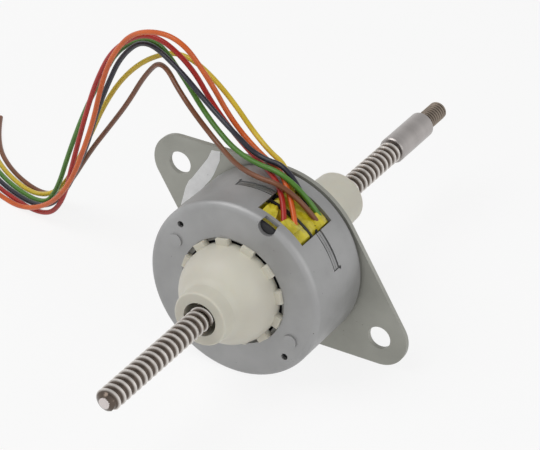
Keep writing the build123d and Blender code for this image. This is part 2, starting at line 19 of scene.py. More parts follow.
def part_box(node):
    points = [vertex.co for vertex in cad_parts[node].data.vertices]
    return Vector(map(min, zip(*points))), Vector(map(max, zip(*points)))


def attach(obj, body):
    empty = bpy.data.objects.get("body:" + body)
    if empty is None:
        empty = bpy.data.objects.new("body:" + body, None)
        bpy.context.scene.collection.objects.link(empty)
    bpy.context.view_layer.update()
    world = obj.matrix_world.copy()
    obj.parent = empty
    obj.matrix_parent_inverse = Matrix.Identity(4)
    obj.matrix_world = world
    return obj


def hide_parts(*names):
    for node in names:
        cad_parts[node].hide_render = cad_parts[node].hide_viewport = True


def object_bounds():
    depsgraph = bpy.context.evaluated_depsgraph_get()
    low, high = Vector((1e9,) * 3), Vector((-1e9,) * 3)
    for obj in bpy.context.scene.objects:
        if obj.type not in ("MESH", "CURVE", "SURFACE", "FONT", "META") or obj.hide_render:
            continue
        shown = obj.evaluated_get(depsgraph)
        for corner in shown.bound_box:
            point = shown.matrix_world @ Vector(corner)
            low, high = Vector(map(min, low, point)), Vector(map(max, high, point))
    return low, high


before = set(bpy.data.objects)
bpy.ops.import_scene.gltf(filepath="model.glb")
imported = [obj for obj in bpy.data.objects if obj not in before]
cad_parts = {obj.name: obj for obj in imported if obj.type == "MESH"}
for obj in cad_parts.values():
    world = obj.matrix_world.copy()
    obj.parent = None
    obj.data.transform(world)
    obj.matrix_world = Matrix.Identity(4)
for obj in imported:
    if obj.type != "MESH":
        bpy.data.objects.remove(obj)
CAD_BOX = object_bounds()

log = logging.getLogger("actuator")

MM = 0.001
MERGE_DISTANCE = 1e-7
STATOR = "stator"
SCREW = "screw"
Point = tuple[float, float, float]
Colour = tuple[float, float, float]


def linear(colour: Colour) -> tuple[float, float, float, float]:
    """Turns a colour as it looks on a screen into the renderer's own linear colour.

    Args:
        colour: red, green and blue from 0 to 1.

    Returns:
        The linear colour with full alpha.
    """
    parts = [c / 12.92 if c <= 0.04045 else ((c + 0.055) / 1.055) ** 2.4 for c in colour]
    return (*parts, 1.0)


def low(node: str) -> Vector:
    """The lowest corner of a CAD node's box, in metres."""
    return Vector(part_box(node)[0])


def high(node: str) -> Vector:
    """The highest corner of a CAD node's box, in metres."""
    return Vector(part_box(node)[1])


@dataclass(frozen=True)
class Motor:
    """The driving sizes that several pieces need, read from the frame, in metres."""

    can_radius: float = high("near_cup").x
    flange_back: float = low("mounting_flange").y
    hole_half_spacing: float = 32.0 * MM
    ear_radius: float = 7.35 * MM

    @property
    def roll(self) -> float:
        """The turn from the table's plane to the line of the ears, in radians."""
        return math.asin((self.can_radius - self.ear_radius) / self.hole_half_spacing)

    def row(
        self, along_ears: float | np.ndarray, y: float | np.ndarray, towards_leads: float | np.ndarray
    ) -> np.ndarray:
        """Places points given along the ears, along the screw and towards the leads in the row frame.

        Args:
            along_ears: distances from the axis along the ears.
            y: places along the screw.
            towards_leads: distances from the axis towards the lead window.

        Returns:
            The points, one row each or on the arguments' own grid, with x, y, z last.
        """
        c, s = math.cos(self.roll), math.sin(self.roll)
        along_ears, y, towards_leads = np.broadcast_arrays(along_ears, y, towards_leads)
        return np.stack((c * along_ears + s * towards_leads, y, c * towards_leads - s * along_ears), axis=-1)


MOTOR = Motor()


def mesh_object(
    name: str, points: np.ndarray, faces: Sequence[np.ndarray], smooth_angle: float = 40.0
) -> bpy.types.Object:
    """Makes a mesh object at the origin, with doubles merged and its faces pointing outwards.

    Args:
        name: the piece's name.
        points: one row of x, y, z for each vertex, in metres.
        faces: arrays with one row of vertex numbers for each face, three or four in a row.
        smooth_angle: edges sharper than this, in degrees, stay sharp.

    Returns:
        The new object, linked to the scene.
    """
    mesh = bpy.data.meshes.new(name)
    mesh.from_pydata(points.reshape(-1, 3).tolist(), [], sum((part.tolist() for part in faces), []))
    obj = bpy.data.objects.new(name, mesh)
    bpy.context.scene.collection.objects.link(obj)
    work = bmesh.new()
    work.from_mesh(mesh)
    bmesh.ops.remove_doubles(work, verts=work.verts, dist=MERGE_DISTANCE)
    bmesh.ops.dissolve_degenerate(work, edges=work.edges, dist=MERGE_DISTANCE)
    bmesh.ops.recalc_face_normals(work, faces=work.faces)
    work.to_mesh(mesh)
    work.free()
    mesh.shade_smooth()
    mesh.set_sharp_from_angle(angle=math.radians(smooth_angle))
    return obj


def grid_faces(rows: int, columns: int, wrap_shift: int | None = None) -> np.ndarray:
    """Numbers the faces of a grid of points whose rows follow each other.

    Args:
        rows: how many rows of points.
        columns: how many points in a row.
        wrap_shift: where the last column joins the first one again, how many rows on it meets it.

    Returns:
        One row of four point numbers for each face.
    """
    r, c = np.meshgrid(np.arange(rows - 1), np.arange(columns - 1), indexing="ij")
    first = (r * columns + c).ravel()
    faces = np.stack((first, first + 1, first + columns + 1, first + columns), axis=-1)
    if wrap_shift is None:
        return faces
    r = np.arange(rows - 1 - wrap_shift)
    last = r * columns + columns - 1
    start = (r + wrap_shift) * columns
    return np.concatenate((faces, np.stack((last, start, start + columns, last + columns), axis=-1)))


def slab(name: str, top: np.ndarray, bottom: np.ndarray, smooth_angle: float = 50.0) -> bpy.types.Object:
    """Makes a closed sheet with a top and a bottom grid of points, joined all round its rim.

    Args:
        name: the piece's name.
        top: the top's points on a grid, x, y, z last.
        bottom: the bottom's points on the same grid.
        smooth_angle: edges sharper than this, in degrees, stay sharp.

    Returns:
        The new object.
    """
    rows, columns = top.shape[:2]
    count = rows * columns
    number = np.arange(count).reshape(rows, columns)
    rim = np.concatenate((number[0, :-1], number[:-1, -1], number[-1, :0:-1], number[:0:-1, 0]))
    after = np.roll(rim, -1)
    faces = grid_faces(rows, columns)
    sides = np.stack((rim, after, after + count, rim + count), axis=-1)
    points = np.concatenate((top.reshape(-1, 3), bottom.reshape(-1, 3)))
    return mesh_object(name, points, (faces, faces[:, ::-1] + count, sides), smooth_angle)


class Tree:
    """A node tree with short calls to add nodes and join them."""

    def __init__(self, tree: bpy.types.NodeTree) -> None:
        """Keeps the tree that nodes go into."""
        self.tree = tree

    def fill(self, socket: bpy.types.NodeSocket, value: object) -> None:
        """Joins an input to an output socket, or gives it a constant.

        Args:
            socket: the input.
            value: an output socket or the constant.
        """
        if isinstance(value, bpy.types.NodeSocket):
            self.tree.links.new(value, socket)
        else:
            socket.default_value = value

    def add(self, kind: str, settings: dict | None = None, **inputs: object) -> bpy.types.Node:
        """Adds a node and fills or joins its inputs.

        Args:
            kind: the node's type, without the words ShaderNode.
            settings: the node's own settings by name.
            inputs: values or output sockets by input name, with _ for a space, or n0, n1 by number.

        Returns:
            The new node.
        """
        node = self.tree.nodes.new("ShaderNode" + kind)
        for key, value in (settings or {}).items():
            setattr(node, key, value)
        for key, value in inputs.items():
            by_number = key[0] == "n" and key[1:].isdigit()
            self.fill(node.inputs[int(key[1:]) if by_number else key.replace("_", " ")], value)
        return node


class Effect(Enum):
    """The shared effects, each a shader node group."""

    MOTTLE = "mottle"
    RELIEF = "relief"
    REACH = "reach"
    SPECK = "speck"


class Effects:
    """Builds each shared effect once and keeps it by name."""

    middle = 0.5
    across_axis = (1.0, 0.0, 1.0)
    speck_edge = 12.0

    def __init__(self) -> None:
        """Builds all the groups."""
        self.groups = {
            Effect.MOTTLE: self._mottle(),
            Effect.RELIEF: self._relief(),
            Effect.REACH: self._reach(),
            Effect.SPECK: self._speck(),
        }

    @staticmethod
    def _group(
        effect: Effect, inputs: Sequence[tuple[str, str]], outputs: Sequence[tuple[str, str]]
    ) -> tuple[Tree, bpy.types.Node, bpy.types.Node]:
        """Makes an empty group with its sockets.

        Args:
            effect: which effect the group is.
            inputs: pairs of a socket's name and its kind.
            outputs: the same for what the group puts out.

        Returns:
            The group's tree wrapper, its input node and its output node.
        """
        group = bpy.data.node_groups.new(effect.value, "ShaderNodeTree")
        for direction, sockets in (("INPUT", inputs), ("OUTPUT", outputs)):
            for name, kind in sockets:
                group.interface.new_socket(name=name, in_out=direction, socket_type="NodeSocket" + kind)
        start = group.nodes.new("NodeGroupInput")
        end = group.nodes.new("NodeGroupOutput")
        return Tree(group), start, end

    def _mottle(self) -> bpy.types.NodeTree:
        """Cloudy change between two colours, which a stretch turns into brushed lines.

        Returns:
            The group.
        """
        tree, start, end = self._group(
            Effect.MOTTLE,
            (("Vector", "Vector"), ("Stretch", "Vector"), ("Scale", "Float"), ("Contrast", "Float"),
             ("Dark", "Color"), ("Light", "Color")),
            (("Color", "Color"), ("Mask", "Float")),
        )
        place = tree.add("VectorMath", {"operation": "MULTIPLY"},
                         n0=start.outputs["Vector"], n1=start.outputs["Stretch"])
        noise = tree.add("TexNoise", Vector=place.outputs[0], Scale=start.outputs["Scale"], Detail=5.0)
        centred = tree.add("Math", {"operation": "SUBTRACT"}, n0=noise.outputs["Fac"], n1=self.middle)
        spread = tree.add("Math", {"operation": "MULTIPLY_ADD", "use_clamp": True},
                          n0=centred.outputs[0], n1=start.outputs["Contrast"], n2=self.middle)
        mix = tree.add("MixRGB", Fac=spread.outputs[0],
                       Color1=start.outputs["Dark"], Color2=start.outputs["Light"])
        tree.tree.links.new(mix.outputs[0], end.inputs["Color"])
        tree.tree.links.new(spread.outputs[0], end.inputs["Mask"])
        return tree.tree

    def _relief(self) -> bpy.types.NodeTree:
        """The height of a fine grain, stretched where the real one was drawn or brushed.

        Returns:
            The group.
        """
        tree, start, end = self._group(
            Effect.RELIEF,
            (("Vector", "Vector"), ("Stretch", "Vector"), ("Scale", "Float")),
            (("Height", "Float"),),
        )
        place = tree.add("VectorMath", {"operation": "MULTIPLY"},
                         n0=start.outputs["Vector"], n1=start.outputs["Stretch"])
        noise = tree.add("TexNoise", Vector=place.outputs[0], Scale=start.outputs["Scale"], Detail=3.0)
        tree.tree.links.new(noise.outputs["Fac"], end.inputs["Height"])
        return tree.tree

    def _reach(self) -> bpy.types.NodeTree:
        """How far a point is from the screw's axis, from 0 at one radius to 1 at another.

        Returns:
            The group.
        """
        tree, start, end = self._group(
            Effect.REACH,
            (("Vector", "Vector"), ("Inner", "Float"), ("Outer", "Float")),
            (("Mask", "Float"),),
        )
        flat = tree.add("VectorMath", {"operation": "MULTIPLY"},
                        n0=start.outputs["Vector"], n1=self.across_axis)
        length = tree.add("VectorMath", {"operation": "LENGTH"}, n0=flat.outputs[0])
        mask = tree.add("MapRange", Value=length.outputs["Value"],
                        From_Min=start.outputs["Inner"], From_Max=start.outputs["Outer"])
        tree.tree.links.new(mask.outputs[0], end.inputs["Mask"])
        return tree.tree

    def _speck(self) -> bpy.types.NodeTree:
        """Small scattered specks, where a fine noise passes a threshold.

        Returns:
            The group.
        """
        tree, start, end = self._group(
            Effect.SPECK,
            (("Vector", "Vector"), ("Scale", "Float"), ("Threshold", "Float")),
            (("Mask", "Float"),),
        )
        noise = tree.add("TexNoise", Vector=start.outputs["Vector"], Scale=start.outputs["Scale"], Detail=2.0)
        above = tree.add("Math", {"operation": "SUBTRACT"},
                         n0=noise.outputs["Fac"], n1=start.outputs["Threshold"])
        mask = tree.add("Math", {"operation": "MULTIPLY", "use_clamp": True},
                        n0=above.outputs[0], n1=self.speck_edge)
        tree.tree.links.new(mask.outputs[0], end.inputs["Mask"])
        return tree.tree


EFFECTS = Effects()


@dataclass(frozen=True)
class Finish:
    """A finish with cloudy colour, specks, changing roughness, a fine grain and, where given, painted shade
    towards the axis.

    Lengths are in metres, scales in waves per metre, and colours as they look on a screen.
    """

    name: str
    dark: Colour
    light: Colour
    metallic: float = 0.0
    roughness: tuple[float, float] = (0.4, 0.55)
    cloud_scale: float = 120.0
    cloud_stretch: Point = (1.0, 1.0, 1.0)
    contrast: float = 2.2
    grain_scale: float = 2500.0
    grain_stretch: Point = (1.0, 1.0, 1.0)
    grain_height: float = 0.02 * MM
    speck_colour: Colour = (0.3, 0.28, 0.25)
    speck_scale: float = 1400.0
    speck_threshold: float = 0.74
    # Painted shade: a darker colour blended in towards the axis, standing for the shade in a thread's
    # grooves.
    groove_shade_colour: Colour | None = None
    groove_shade_radii: tuple[float, float] = (0.0, 1.0)
    coat: float = 0.0
    subsurface: float = 0.0
    subsurface_spread: Point = (1.0, 0.8, 0.6)
    subsurface_depth: float = 1.5 * MM

    @staticmethod
    def group(tree: Tree, effect: Effect, **inputs: object) -> bpy.types.Node:
        """Places a shared effect in a material with this finish's values.

        Args:
            tree: the material's tree.
            effect: which effect to place.
            inputs: values or output sockets by input name.

        Returns:
            The group's node.
        """
        node = tree.tree.nodes.new("ShaderNodeGroup")
        node.node_tree = EFFECTS.groups[effect]
        for key, value in inputs.items():
            tree.fill(node.inputs[key], value)
        return node

    def material(self) -> bpy.types.Material:
        """Builds the finish's material.

        Returns:
            A new material whose patterns follow object coordinates.
        """
        material = bpy.data.materials.new(self.name)
        material.use_nodes = True
        tree = Tree(material.node_tree)
        shader = material.node_tree.nodes["Principled BSDF"]
        place = tree.add("TexCoord").outputs["Object"]
        cloud = self.group(tree, Effect.MOTTLE, Vector=place, Stretch=self.cloud_stretch,
                           Scale=self.cloud_scale, Contrast=self.contrast,
                           Dark=linear(self.dark), Light=linear(self.light))
        colour = cloud.outputs["Color"]
        # Painted shade: the colour darkens from the outer radius in to the inner one, towards the thread's
        # roots.
        if self.groove_shade_colour:
            reach = self.group(tree, Effect.REACH, Vector=place,
                               Inner=self.groove_shade_radii[0], Outer=self.groove_shade_radii[1])
            colour = tree.add("MixRGB", Fac=reach.outputs["Mask"], Color1=linear(self.groove_shade_colour),
                              Color2=colour).outputs[0]
        speck = self.group(tree, Effect.SPECK, Vector=place,
                           Scale=self.speck_scale, Threshold=self.speck_threshold)
        colour = tree.add("MixRGB", Fac=speck.outputs["Mask"], Color1=colour,
                          Color2=linear(self.speck_colour)).outputs[0]
        rough = tree.add("MapRange", Value=cloud.outputs["Mask"],
                         To_Min=self.roughness[0], To_Max=self.roughness[1])
        grain = self.group(tree, Effect.RELIEF, Vector=place,
                           Stretch=self.grain_stretch, Scale=self.grain_scale)
        bump = tree.add("Bump", Height=grain.outputs["Height"], Distance=self.grain_height)
        for socket, value in (("Base Color", colour), ("Roughness", rough.outputs[0]),
                              ("Normal", bump.outputs[0])):
            tree.fill(shader.inputs[socket], value)
        for socket, value in (("Metallic", self.metallic), ("Coat Weight", self.coat),
                              ("Subsurface Weight", self.subsurface)):
            shader.inputs[socket].default_value = value
        if self.subsurface:
            shader.inputs["Subsurface Radius"].default_value = self.subsurface_spread
            shader.inputs["Subsurface Scale"].default_value = self.subsurface_depth
        return material


AROUND = (0.04, 1.0, 0.04)

CAN_STEEL = Finish("can_steel", (0.60, 0.60, 0.60), (0.69, 0.69, 0.69), metallic=0.55, roughness=(0.42, 0.58),
                   cloud_scale=90.0, grain_scale=5200.0, grain_stretch=AROUND, grain_height=0.02 * MM)
FLANGE_STEEL = Finish("flange_steel", (0.58, 0.58, 0.55), (0.68, 0.68, 0.65), metallic=0.6,
                      roughness=(0.38, 0.55),
                      cloud_scale=70.0, grain_scale=1800.0)
POLE_STEEL = Finish("pole_steel", (0.50, 0.50, 0.50), (0.66, 0.66, 0.66), metallic=0.8, roughness=(0.35, 0.5),
                    grain_stretch=AROUND)
HUB_PLASTIC = Finish("hub_plastic", (0.83, 0.81, 0.76), (0.87, 0.86, 0.80), roughness=(0.42, 0.52),
                     cloud_scale=60.0, grain_scale=1500.0, grain_height=0.015 * MM, subsurface=0.25,
                     speck_colour=(0.66, 0.63, 0.56), speck_threshold=0.8)
BOBBIN_PLASTIC = Finish("bobbin_plastic", (0.12, 0.12, 0.13), (0.18, 0.18, 0.19), roughness=(0.45, 0.6))
COPPER_WIRE = Finish("copper_wire", (0.55, 0.24, 0.10), (0.72, 0.36, 0.18), metallic=0.9,
                     roughness=(0.25, 0.4),
                     grain_scale=6000.0, grain_stretch=AROUND, grain_height=0.1 * MM)
YELLOW_TAPE = Finish("yellow_tape", (0.72, 0.66, 0.08), (0.90, 0.84, 0.22), roughness=(0.2, 0.4),
                     cloud_scale=420.0, contrast=3.0, grain_scale=900.0, grain_height=0.12 * MM, coat=0.3,
                     speck_colour=(0.5, 0.44, 0.08), speck_threshold=0.7)
SPRING_STEEL = Finish("spring_steel", (0.42, 0.42, 0.43), (0.60, 0.60, 0.61), metallic=0.9,
                      roughness=(0.25, 0.4))
BEARING_STEEL = Finish("bearing_steel", (0.62, 0.62, 0.63), (0.78, 0.78, 0.79), metallic=1.0,
                       roughness=(0.12, 0.25),
                       grain_stretch=AROUND)
BALL_STEEL = Finish("ball_steel", (0.74, 0.74, 0.75), (0.84, 0.84, 0.85), metallic=1.0,
                    roughness=(0.05, 0.12))
CAGE_STEEL = Finish("cage_steel", (0.48, 0.44, 0.36), (0.62, 0.57, 0.46), metallic=0.8, roughness=(0.3, 0.45))
FERRITE = Finish("ferrite", (0.13, 0.13, 0.14), (0.20, 0.20, 0.21), roughness=(0.5, 0.65),
                 grain_height=0.05 * MM)
SLEEVE_BRONZE = Finish("sleeve_bronze", (0.42, 0.36, 0.18), (0.56, 0.48, 0.24), metallic=0.5,
                       roughness=(0.35, 0.5))
# The screw's grooves get painted shade: darker from 2.9 mm in to 2.5 mm from the axis.
SCREW_STEEL = Finish("screw_steel", (0.78, 0.76, 0.74), (0.92, 0.90, 0.88), metallic=0.9,
                     roughness=(0.2, 0.32),
                     cloud_scale=500.0, groove_shade_colour=(0.38, 0.34, 0.31), groove_shade_radii=(2.5 * MM, 2.9 * MM),
                     grain_stretch=AROUND, grain_scale=4000.0)
CUT_STEEL = Finish("cut_steel", (0.80, 0.77, 0.76), (0.90, 0.87, 0.86), metallic=0.7, roughness=(0.4, 0.5))
SLEEVE_STEEL = Finish("sleeve_steel", (0.64, 0.62, 0.61), (0.72, 0.70, 0.69), metallic=0.85,
                      roughness=(0.3, 0.42),
                      cloud_scale=260.0, cloud_stretch=AROUND, grain_scale=4500.0, grain_stretch=AROUND)
# The stud's thread roots get painted shade: darker from 2.4 mm in to 2.05 mm from the axis.
STUD_STEEL = Finish("stud_steel", (0.46, 0.42, 0.38), (0.62, 0.57, 0.52), metallic=0.85,
                    roughness=(0.3, 0.42),
                    groove_shade_colour=(0.22, 0.19, 0.17), groove_shade_radii=(2.05 * MM, 2.4 * MM))
BRIGHT_PATCH = Finish("bright_patch", (0.93, 0.93, 0.93), (0.98, 0.98, 0.98), roughness=(0.35, 0.5),
                      cloud_scale=500.0)


def insulation(colour: str, dark: Colour, light: Colour) -> Finish:
    """A lead's plastic insulation, a little glossy and faintly marked along its length.

    Args:
        colour: the colour's name.
        dark: the darker of its two shades.
        light: the lighter one.

    Returns:
        The finish.
    """
    return Finish(f"{colour}_insulation", dark, light, roughness=(0.3, 0.42), cloud_scale=160.0,
                  grain_scale=3000.0, grain_height=0.01 * MM, speck_colour=tuple(0.6 * c for c in dark))


INSULATION = {
    "orange": insulation("orange", (0.80, 0.33, 0.08), (0.88, 0.42, 0.14)),
    "red": insulation("red", (0.62, 0.09, 0.05), (0.74, 0.15, 0.09)),
    "black": insulation("black", (0.08, 0.08, 0.13), (0.14, 0.14, 0.20)),
    "green": insulation("green", (0.26, 0.46, 0.12), (0.36, 0.56, 0.20)),
    "yellow": insulation("yellow", (0.82, 0.70, 0.14), (0.92, 0.80, 0.26)),
    "brown": insulation("brown", (0.42, 0.24, 0.13), (0.52, 0.31, 0.18)),
}

NODE_FINISHES = {
    CAN_STEEL: ("near_cup", "far_cup"),
    FLANGE_STEEL: ("mounting_flange",),
    POLE_STEEL: ("near_pole_plate", "far_pole_plate"),
    HUB_PLASTIC: ("near_hub", "far_hub"),
    BOBBIN_PLASTIC: ("near_bobbin", "far_bobbin"),
    COPPER_WIRE: ("near_winding", "far_winding"),
    SPRING_STEEL: ("preload_washer",),
    BEARING_STEEL: ("near_inner_race", "near_outer_race", "far_inner_race", "far_outer_race"),
    BALL_STEEL: ("near_balls", "far_balls"),
    CAGE_STEEL: ("near_ball_cage", "far_ball_cage"),
    FERRITE: ("rotor_magnet",),
    SLEEVE_BRONZE: ("rotor_sleeve",),
    SLEEVE_STEEL: ("end_sleeve",),
}


def dress(obj: bpy.types.Object, material: bpy.types.Material) -> None:
    """Gives a new piece or a CAD node one material on all its slots.

    Args:
        obj: the piece or node.
        material: its material.
    """
    if not obj.data.materials:
        obj.data.materials.append(material)
    for number in range(len(obj.material_slots)):
        obj.material_slots[number].material = material


class CadSkin:
    """The finishes of the CAD nodes that stay visible."""

    def dress(self) -> None:
        """Gives every kept CAD node its finish."""
        for finish, nodes in NODE_FINISHES.items():
            material = finish.material()
            for node in nodes:
                dress(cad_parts[node], material)
            log.info("dressed %s", ", ".join(nodes))


@dataclass(frozen=True)
class Leads:
    """The six loose leads. Each route repeats the points of the CAD tube, in millimetres."""

    radius: float = 0.65
    table: float = -22.35
    spline_order: int = 3
    steps_per_point: int = 16
    section_steps: int = 5

    def routes(self) -> dict[str, list[Point]]:
        """The drawn routes, from the window down to the table.

        Returns:
            Each route's points by colour.
        """
        table = self.table
        return {
            "orange": [(12.7, -15.7, 17.8), (6.1, -7.6, 25.1), (-6.1, -0.3, 24.2), (-15.6, 2.5, 29.1),
                       (-20.7, 0.7, 39.5), (-27.7, -1.8, 50.3), (-41.8, 1.5, 46.7), (-50.0, 3.7, 37.3),
                       (-54.6, 5.1, 27.0), (-58.4, 5.7, 12.6), (-69.1, 8.6, -11.4),
                       (-83.9, 12.1, table), (-98.2, 16.3, table), (-113.3, 24.3, table),
                       (-124.4, 33.9, table)],
            "red": [(10.7, -17.7, 18.8), (6.8, -10.3, 24.1), (-8.8, -1.3, 24.8), (-19.4, 1.3, 31.6),
                    (-27.5, 2.5, 41.5), (-38.6, 2.7, 46.9), (-51.0, 5.6, 37.8), (-57.5, 7.3, 26.3),
                    (-62.1, 8.7, 14.4), (-66.4, 9.3, 0.6), (-71.8, 11.1, -15.7),
                    (-78.8, 12.6, table), (-93.9, 16.7, table), (-108.4, 24.2, table), (-119.9, 35.5, table)],
            "black": [(11.3, -7.4, 18.2), (6.2, -6.4, 27.0), (-4.1, -4.5, 25.9), (-10.4, -5.5, 31.4),
                      (-19.7, -1.6, 34.3), (-29.2, 0.4, 40.3), (-41.0, 4.6, 43.3), (-49.7, 7.1, 35.5),
                      (-55.2, 8.4, 24.7), (-59.6, 9.5, 14.5), (-63.7, 10.7, 2.9), (-73.0, 12.9, -15.4),
                      (-82.2, 15.2, table), (-97.2, 19.9, table), (-110.9, 28.8, table),
                      (-121.7, 40.0, table)],
            "green": [(14.3, -7.0, 16.6), (8.4, -9.0, 26.4), (-7.1, -6.3, 25.4), (-20.1, 0.1, 28.6),
                      (-29.3, 2.3, 37.7), (-39.3, 5.9, 43.8), (-51.5, 9.2, 36.4), (-58.4, 11.1, 25.3),
                      (-64.7, 12.4, 13.5), (-71.2, 14.3, -1.0), (-76.2, 15.0, -15.1),
                      (-82.2, 17.1, table), (-97.8, 22.0, table), (-112.1, 32.3, table),
                      (-121.9, 43.1, table)],
            "yellow": [(8.2, -8.8, 20.0), (4.7, -4.5, 25.4), (-6.5, 2.1, 24.9), (-19.9, 5.1, 36.2),
                       (-32.3, 7.5, 41.0), (-43.2, 9.4, 35.5), (-51.9, 11.1, 27.2), (-58.9, 12.6, 16.7),
                       (-64.8, 14.5, 5.1), (-74.8, 16.4, -14.6),
                       (-85.9, 19.8, table), (-99.4, 25.0, table), (-113.0, 35.5, table),
                       (-122.3, 46.8, table)],
            "brown": [(14.5, -8.9, 16.4), (9.5, -11.8, 25.2), (-3.2, -11.8, 25.3), (-15.6, -3.6, 25.4),
                      (-26.3, -2.2, 34.3), (-36.6, 4.9, 38.8), (-44.8, 9.7, 30.1), (-51.4, 11.9, 19.4),
                      (-58.8, 14.6, 9.4), (-66.4, 16.4, -1.0), (-76.2, 18.9, -16.7),
                      (-84.9, 21.3, table), (-98.6, 26.6, table), (-111.9, 37.4, table),
                      (-119.7, 50.3, table)],
        }

    def build(self) -> None:
        for colour, route in self.routes().items():
            curve = bpy.data.curves.new(f"{colour}_lead", "CURVE")
            curve.dimensions = "3D"
            spline = curve.splines.new("NURBS")
            spline.points.add(len(route) - 1)
            for point, (x, y, z) in zip(spline.points, route):
                point.co = (x * MM, y * MM, z * MM, 1.0)
            spline.order_u = self.spline_order
            spline.use_endpoint_u = True
            spline.resolution_u = self.steps_per_point
            curve.bevel_depth = self.radius * MM
            curve.bevel_resolution = self.section_steps
            curve.use_fill_caps = True
            lead = bpy.data.objects.new(f"{colour}_lead", curve)
            bpy.context.scene.collection.objects.link(lead)
            dress(lead, INSULATION[colour].material())
            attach(lead, STATOR)
            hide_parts(f"lead_{colour}")
            log.info("laid the %s lead", colour)


@dataclass(frozen=True)
class Thread:
    """A threaded bar along the screw's axis, right-handed, with a chamfer at each end.

    The surface is a grid of rows that climb by one lead in each turn. A point's radius depends only on
    how far along the axis it is from the crest line at its own angle: flat crest, sloping flank, flat
    root, sloping flank. At an end a cone limits it, so the rows that pass the end meet on one circle.
    """

    name: str
    start: float
    end: float
    crest_radius: float
    root_radius: float
    lead: float
    crest_share: float
    root_share: float
    start_radius: float
    start_chamfer: float
    end_radius: float
    end_chamfer: float
    phase: float = 0.0
    columns: int = 48
    rows_per_turn: int = 12
    turns_before: int = 2
    turns_after: int = 3
    sharp_edge: float = 35.0

    @property
    def flank(self) -> tuple[float, float]:
        """Where a flank starts and ends, as shares of the lead past the crest's middle."""
        return self.crest_share / 2, 0.5 - self.root_share / 2

    def profile(self, turn: np.ndarray) -> np.ndarray:
        """The radius past the crest's middle, rising and falling in straight flanks.

        Args:
            turn: how many leads past a crest's middle, any number.

        Returns:
            The radius there.
        """
        share = np.abs(turn - np.round(turn))
        crest, root = self.flank
        drop = np.clip((share - crest) / (root - crest), 0, 1)
        return self.crest_radius + (self.root_radius - self.crest_radius) * drop

    def points(self) -> tuple[np.ndarray, int]:
        """Works out the rows of points.

        A row's place is its share of a turn plus the column's angle, times the lead. The radius is the
        profile's, cut off by the two end cones.

        Returns:
            The grid of points and the number of rows in a turn.
        """
        crest, root = self.flank
        half = np.linspace(crest, root, self.rows_per_turn // 2 - 1)
        steps = np.sort(np.concatenate(([0.0], half, 1 - half)))
        steps = np.unique(np.append(steps, 0.5))
        turns = math.ceil((self.end - self.start) / self.lead) + self.turns_after
        share = (np.arange(-self.turns_before, turns)[:, None] + steps[None, :]).ravel()
        angle = np.arange(self.columns) / self.columns
        turn = share[:, None] + angle[None, :]
        y = np.clip(self.start + self.phase + turn * self.lead, self.start, self.end)
        radius = np.broadcast_to(self.profile(share)[:, None], y.shape)
        start_rise = self.crest_radius - self.start_radius
        end_rise = self.crest_radius - self.end_radius
        start_cone = self.start_radius + (y - self.start) * start_rise / self.start_chamfer
        end_cone = self.end_radius + (self.end - y) * end_rise / self.end_chamfer
        radius = np.minimum(radius, np.minimum(start_cone, end_cone))
        sweep = 2 * math.pi * angle[None, :]
        grid = np.stack((radius * np.sin(sweep), y, radius * np.cos(sweep)), axis=-1)
        return grid, len(steps)

    def build(self, body: str) -> bpy.types.Object:
        """Makes the threaded bar, closed at both ends by a fan of triangles round a middle point.

        Args:
            body: the body that the bar rides on.

        Returns:
            The bar.
        """
        grid, per_turn = self.points()
        rows, columns = grid.shape[:2]
        faces = grid_faces(rows, columns, per_turn)
        centre = np.array([[0.0, self.start, 0.0], [0.0, self.end, 0.0]])
        first = np.arange(columns)
        last = (rows - 1) * columns + first
        count = rows * columns
        near_cap = np.stack((first, np.roll(first, -1), np.full(columns, count)), axis=-1)
        far_cap = np.stack((np.roll(last, -1), last, np.full(columns, count + 1)), axis=-1)
        points = np.concatenate((grid.reshape(-1, 3), centre))
        obj = mesh_object(self.name, points, (faces, near_cap, far_cap), self.sharp_edge)
        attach(obj, body)
        return obj


@dataclass(frozen=True)
class TravellingScrew:
    """The lead screw and the stud at its far end, both with real threads."""

    lead: float = 2.15 * MM
    crest_line: float = -72.66 * MM
    crest_angle: float = math.radians(40.0)
    stud_pitch: float = 1.0 * MM
    stud_overlap: float = 0.3 * MM
    cut_depth: float = 0.05 * MM

    def build(self) -> None:
        """Makes both threaded pieces in place of their plain CAD bars."""
        start = low("lead_screw").y
        stud_end = high("end_stud").y
        crest_at_top = self.crest_line - self.lead * self.crest_angle / (2 * math.pi)
        screw = Thread(
            name="threaded_screw", start=start, end=low("end_sleeve").y, crest_radius=high("lead_screw").x,
            root_radius=2.3 * MM, lead=self.lead, crest_share=0.16, root_share=0.42,
            start_radius=1.35 * MM, start_chamfer=1.3 * MM,
            end_radius=2.0 * MM, end_chamfer=0.35 * MM,
            phase=(crest_at_top - start) % self.lead,
        ).build(SCREW)
        self._dress(screw, SCREW_STEEL, start + self.cut_depth)
        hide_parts("lead_screw")
        stud = Thread(
            name="threaded_stud", start=high("end_sleeve").y - self.stud_overlap, end=stud_end,
            crest_radius=high("end_stud").x,
            root_radius=1.95 * MM, lead=self.stud_pitch, crest_share=0.15, root_share=0.15,
            start_radius=1.9 * MM, start_chamfer=0.3 * MM,
            end_radius=1.7 * MM, end_chamfer=0.8 * MM,
            columns=40, rows_per_turn=8,
        ).build(SCREW)
        self._dress(stud, STUD_STEEL, stud_end - self.cut_depth)
        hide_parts("end_stud")
        log.info("cut the screw's and the stud's threads")

    @staticmethod
    def _dress(bar: bpy.types.Object, finish: Finish, end: float) -> None:
        """Gives a bar its thread finish, and a freshly cut finish on the faces at one end.

        Args:
            bar: the threaded bar.
            finish: the thread's finish.
            end: the y value beyond which, away from the motor, a face belongs to the cut end.
        """
        bar.data.materials.append(finish.material())
        bar.data.materials.append(CUT_STEEL.material())
        middle = np.empty(3 * len(bar.data.polygons))
        bar.data.polygons.foreach_get("center", middle)
        beyond = middle[1::3] / end > 1.0
        bar.data.polygons.foreach_set("material_index", beyond.astype(np.int32))


